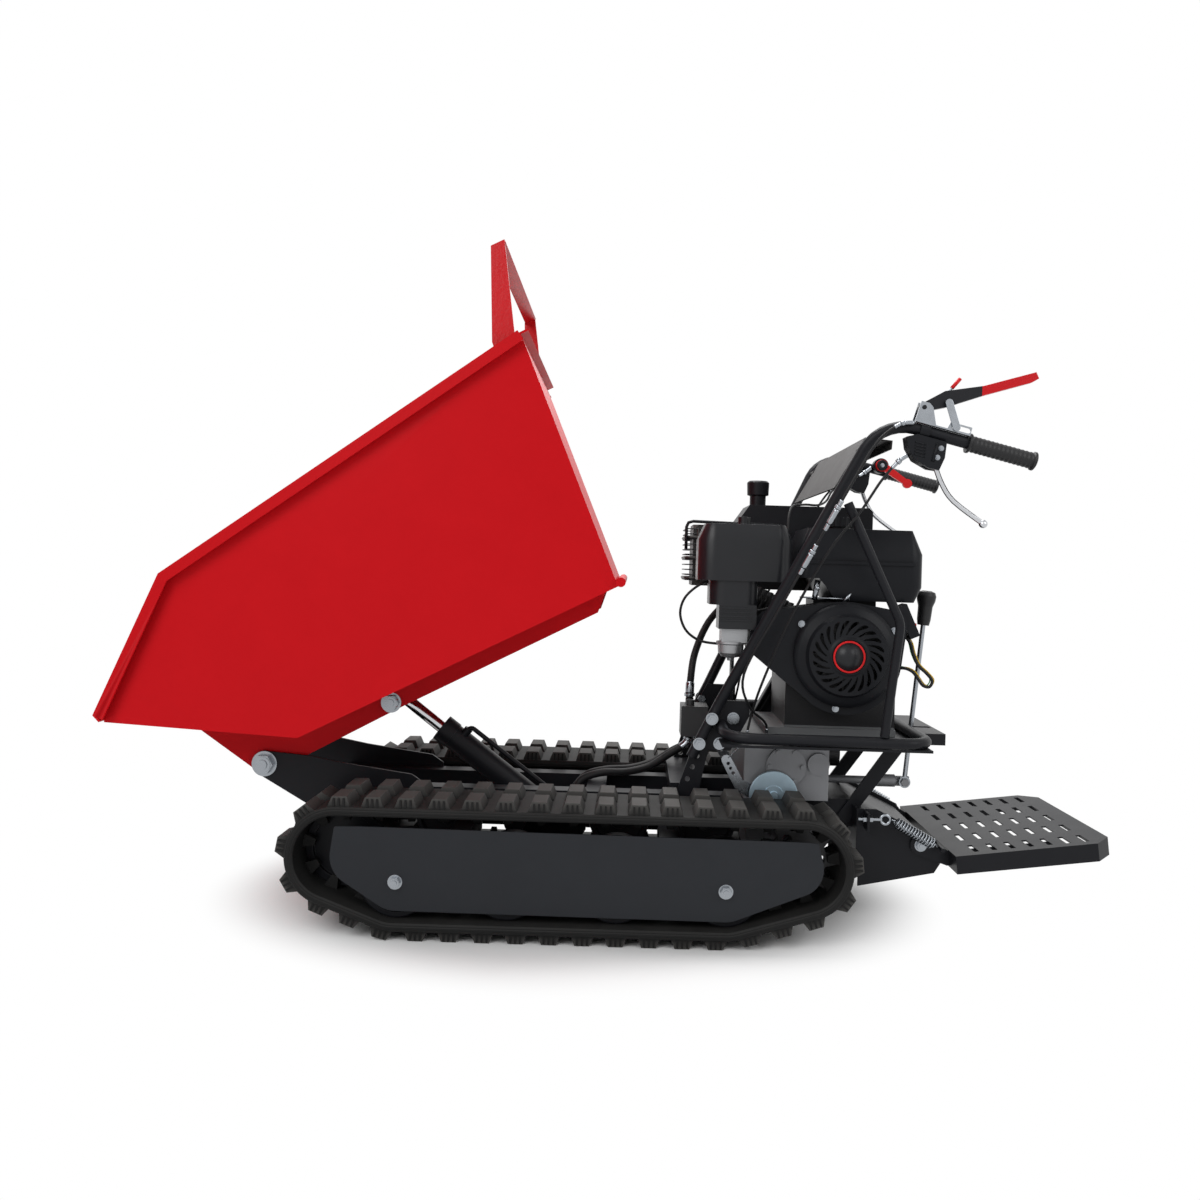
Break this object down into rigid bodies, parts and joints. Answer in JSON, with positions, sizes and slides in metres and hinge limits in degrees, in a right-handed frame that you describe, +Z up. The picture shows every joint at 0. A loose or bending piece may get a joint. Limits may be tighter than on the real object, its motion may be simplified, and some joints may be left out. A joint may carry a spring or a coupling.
{
  "type": "tracked power carrier",
  "caption": "Walk-behind tracked carrier with a hydraulically tipped front skip, rubber tracks, a petrol engine behind it, handlebars with levers and a folding operator step.",
  "frame": {"origin": "ground level under the middle of the bounding box", "axes": "+X from the skip towards the operator, +Y to the far side, +Z up; the rest pose has the skip half raised"},
  "size_m": [1.9315, 0.68, 1.2888],
  "materials": {
    "frame_black": "satin black powder coat",
    "cover_charcoal": "satin charcoal powder coat",
    "bolt_zinc": "bright zinc plate",
    "track_rubber": "matt black rubber, lug tops worn brown-grey",
    "wheel_black": "satin black",
    "sprocket_iron": "dark cast iron",
    "skip_red": "gloss red powder coat",
    "rod_chrome": "hard chrome",
    "barrel_black": "semi-gloss black",
    "hose_rubber": "matt black rubber",
    "gearbox_grey": "grey cast alloy",
    "grip_rubber": "matt black rubber",
    "panel_grey": "satin grey-brown",
    "engine_alloy": "cast alloy",
    "engine_black": "fine-grained black plastic",
    "muffler_steel": "heat-darkened steel",
    "tank_black": "semi-gloss black",
    "lever_red": "gloss red"
  },
  "bodies": {
    "chassis": {"chassis_frame": "frame_black", "frame_bolts": "bolt_zinc", "rubber_tracks": "track_rubber", "track_frames": "frame_black", "track_covers": "cover_charcoal", "hydraulic_hoses": "hose_rubber", "gearbox": "gearbox_grey", "drive_belt": "hose_rubber", "belt_cover": "frame_black", "hydraulic_pump": "gearbox_grey", "rear_frame": "frame_black", "footplate_springs": "bolt_zinc", "handlebar_uprights": "frame_black", "engine_platform": "frame_black", "platform_tube": "frame_black", "handlebars": "frame_black", "handle_grips": "grip_rubber", "control_panel": "panel_grey", "engine_block": "engine_alloy", "blower_housing": "engine_black", "recoil_cover": "engine_black", "fuel_tank": "engine_black", "air_cleaner": "engine_black", "carburettor": "engine_alloy", "muffler": "muffler_steel", "oil_tank": "tank_black", "control_cables": "hose_rubber", "clutch_bracket": "bolt_zinc", "lever_housings": "engine_black"},
    "skip_body": {"skip": "skip_red", "skip_subframe": "skip_red", "skip_hoop": "skip_red"},
    "rod_body": {"piston_rod": "rod_chrome"},
    "barrel_body": {"cylinder_barrel": "barrel_black"},
    "footplate_body": {"footplate": "frame_black"},
    "gear_lever_body": {"gear_lever": "bolt_zinc", "gear_knob": "grip_rubber"},
    "clutch_body": {"clutch_lever": "lever_red"},
    "clutch_link_body": {"clutch_link": "bolt_zinc"},
    "steering_lever_near_body": {"steering_levers_near": "rod_chrome"},
    "steering_lever_far_body": {"steering_levers_far": "rod_chrome"},
    "steering_arm_near_body": {"steering_arm_near": "bolt_zinc"},
    "steering_arm_far_body": {"steering_arm_far": "bolt_zinc"},
    "throttle_body": {"throttle_lever": "lever_red"},
    "crank_body": {"crankshaft": "sprocket_iron"},
    "gearbox_pulley_body": {"gearbox_pulley": "sprocket_iron"},
    "fuel_cap_body": {"fuel_cap": "engine_black"},
    "switch_body": {"engine_switch": "lever_red"},
    "sprocket_near_body": {"sprocket_near": "sprocket_iron"},
    "idler_near_body": {"idler_near": "wheel_black"},
    "road_wheel_near_1_body": {"road_wheel_near_1": "wheel_black"},
    "road_wheel_near_2_body": {"road_wheel_near_2": "wheel_black"},
    "road_wheel_near_3_body": {"road_wheel_near_3": "wheel_black"},
    "road_wheel_near_4_body": {"road_wheel_near_4": "wheel_black"},
    "sprocket_far_body": {"sprocket_far": "sprocket_iron"},
    "idler_far_body": {"idler_far": "wheel_black"},
    "road_wheel_far_1_body": {"road_wheel_far_1": "wheel_black"},
    "road_wheel_far_2_body": {"road_wheel_far_2": "wheel_black"},
    "road_wheel_far_3_body": {"road_wheel_far_3": "wheel_black"},
    "road_wheel_far_4_body": {"road_wheel_far_4": "wheel_black"}
  },
  "joints": [
    {"name": "skip_tip", "type": "hinge", "parent": "chassis", "child": "skip_body", "pos_m": [-0.724, 0, 0.27], "axis": [0, -1, 0], "range_deg": [-25, 33], "deforming": ["hydraulic_hoses"]},
    {"name": "rod_swing", "type": "hinge", "parent": "skip_body", "child": "rod_body", "pos_m": [-0.47275, 0, 0.40026], "axis": [0, -1, 0], "range_deg": [-40, 30]},
    {"name": "barrel_slide", "type": "slide", "parent": "rod_body", "child": "barrel_body", "axis": [0.8018, 0, -0.5976], "range_m": [-0.09, 0.118], "deforming": ["hydraulic_hoses"]},
    {"name": "sprocket_near_turn", "type": "hinge", "parent": "chassis", "child": "sprocket_near_body", "pos_m": [0.338, -0.25, 0.15], "axis": [0, 1, 0], "continuous": true},
    {"name": "idler_near_turn", "type": "hinge", "parent": "chassis", "child": "idler_near_body", "pos_m": [-0.515, -0.25, 0.15], "axis": [0, 1, 0], "continuous": true},
    {"name": "road_wheel_near_1_turn", "type": "hinge", "parent": "chassis", "child": "road_wheel_near_1_body", "pos_m": [-0.406, -0.25, 0.104], "axis": [0, 1, 0], "continuous": true},
    {"name": "road_wheel_near_2_turn", "type": "hinge", "parent": "chassis", "child": "road_wheel_near_2_body", "pos_m": [-0.20467, -0.25, 0.104], "axis": [0, 1, 0], "continuous": true},
    {"name": "road_wheel_near_3_turn", "type": "hinge", "parent": "chassis", "child": "road_wheel_near_3_body", "pos_m": [-0.00333, -0.25, 0.104], "axis": [0, 1, 0], "continuous": true},
    {"name": "road_wheel_near_4_turn", "type": "hinge", "parent": "chassis", "child": "road_wheel_near_4_body", "pos_m": [0.198, -0.25, 0.104], "axis": [0, 1, 0], "continuous": true},
    {"name": "sprocket_far_turn", "type": "hinge", "parent": "chassis", "child": "sprocket_far_body", "pos_m": [0.338, 0.25, 0.15], "axis": [0, 1, 0], "continuous": true},
    {"name": "idler_far_turn", "type": "hinge", "parent": "chassis", "child": "idler_far_body", "pos_m": [-0.515, 0.25, 0.15], "axis": [0, 1, 0], "continuous": true},
    {"name": "road_wheel_far_1_turn", "type": "hinge", "parent": "chassis", "child": "road_wheel_far_1_body", "pos_m": [-0.406, 0.25, 0.104], "axis": [0, 1, 0], "continuous": true},
    {"name": "road_wheel_far_2_turn", "type": "hinge", "parent": "chassis", "child": "road_wheel_far_2_body", "pos_m": [-0.20467, 0.25, 0.104], "axis": [0, 1, 0], "continuous": true},
    {"name": "road_wheel_far_3_turn", "type": "hinge", "parent": "chassis", "child": "road_wheel_far_3_body", "pos_m": [-0.00333, 0.25, 0.104], "axis": [0, 1, 0], "continuous": true},
    {"name": "road_wheel_far_4_turn", "type": "hinge", "parent": "chassis", "child": "road_wheel_far_4_body", "pos_m": [0.198, 0.25, 0.104], "axis": [0, 1, 0], "continuous": true},
    {"name": "footplate_fold", "type": "hinge", "parent": "chassis", "child": "footplate_body", "pos_m": [0.597, 0, 0.157], "axis": [0, -1, 0], "range_deg": [0, 65], "deforming": ["footplate_springs"]},
    {"name": "gear_shift", "type": "hinge", "parent": "chassis", "child": "gear_lever_body", "pos_m": [0.596, -0.03, 0.255], "axis": [0, 1, 0], "range_deg": [0, 16]},
    {"name": "clutch_squeeze", "type": "hinge", "parent": "chassis", "child": "clutch_body", "pos_m": [0.53563, -0.304, 0.9998], "axis": [0, 1, 0], "range_deg": [0, 25], "stiffness_Nm_per_rad": 20},
    {"name": "clutch_link_swing", "type": "hinge", "parent": "clutch_body", "child": "clutch_link_body", "pos_m": [0.58009, -0.304, 1.00899], "axis": [0, 1, 0], "range_deg": [-60, 5]},
    {"name": "steering_lever_near_squeeze", "type": "hinge", "parent": "chassis", "child": "steering_lever_near_body", "pos_m": [0.55843, -0.304, 0.8995], "axis": [0, -1, 0], "range_deg": [0, 25], "stiffness_Nm_per_rad": 8},
    {"name": "steering_arm_near_turn", "type": "hinge", "parent": "chassis", "child": "steering_arm_near_body", "pos_m": [0.262, -0.131, 0.248], "axis": [0, 1, 0], "range_deg": [0, 13]},
    {"name": "steering_lever_far_squeeze", "type": "hinge", "parent": "chassis", "child": "steering_lever_far_body", "pos_m": [0.55843, 0.304, 0.8995], "axis": [0, -1, 0], "range_deg": [0, 25], "stiffness_Nm_per_rad": 8},
    {"name": "steering_arm_far_turn", "type": "hinge", "parent": "chassis", "child": "steering_arm_far_body", "pos_m": [0.262, 0.131, 0.248], "axis": [0, 1, 0], "range_deg": [0, 13]},
    {"name": "throttle_turn", "type": "hinge", "parent": "chassis", "child": "throttle_body", "pos_m": [0.59989, 0.265, 0.95112], "axis": [0, 1, 0], "range_deg": [-30, 30]},
    {"name": "crank_turn", "type": "hinge", "parent": "chassis", "child": "crank_body", "pos_m": [0.436, 0, 0.529], "axis": [0, 1, 0], "continuous": true},
    {"name": "gearbox_pulley_turn", "type": "hinge", "parent": "chassis", "child": "gearbox_pulley_body", "pos_m": [0.33, 0.145, 0.3], "axis": [0, 1, 0], "continuous": true},
    {"name": "fuel_cap_turn", "type": "hinge", "parent": "chassis", "child": "fuel_cap_body", "pos_m": [0.436, -0.06, 0.79], "axis": [0, 0, 1], "range_deg": [0, 100]},
    {"name": "engine_switch_rock", "type": "hinge", "parent": "chassis", "child": "switch_body", "pos_m": [0.57472, -0.14, 0.5854], "axis": [0, 1, 0], "range_deg": [-8, 8]}
  ],
  "couplings": [
    {"joint": "rod_swing", "follows": "skip_tip", "ratio": -1.15},
    {"joint": "barrel_slide", "follows": "skip_tip", "m_per_rad": 0.2005},
    {"joint": "idler_near_turn", "follows": "sprocket_near_turn", "ratio": 1},
    {"joint": "road_wheel_near_1_turn", "follows": "sprocket_near_turn", "ratio": 1.0714},
    {"joint": "road_wheel_near_2_turn", "follows": "sprocket_near_turn", "ratio": 1.0714},
    {"joint": "road_wheel_near_3_turn", "follows": "sprocket_near_turn", "ratio": 1.0714},
    {"joint": "road_wheel_near_4_turn", "follows": "sprocket_near_turn", "ratio": 1.0714},
    {"joint": "idler_far_turn", "follows": "sprocket_far_turn", "ratio": 1},
    {"joint": "road_wheel_far_1_turn", "follows": "sprocket_far_turn", "ratio": 1.0714},
    {"joint": "road_wheel_far_2_turn", "follows": "sprocket_far_turn", "ratio": 1.0714},
    {"joint": "road_wheel_far_3_turn", "follows": "sprocket_far_turn", "ratio": 1.0714},
    {"joint": "road_wheel_far_4_turn", "follows": "sprocket_far_turn", "ratio": 1.0714},
    {"joint": "clutch_link_swing", "follows": "clutch_squeeze", "ratio": -2.28},
    {"joint": "steering_arm_near_turn", "follows": "steering_lever_near_squeeze", "ratio": 0.48},
    {"joint": "steering_arm_far_turn", "follows": "steering_lever_far_squeeze", "ratio": 0.48},
    {"joint": "gearbox_pulley_turn", "follows": "crank_turn", "ratio": 0.56}
  ]
}
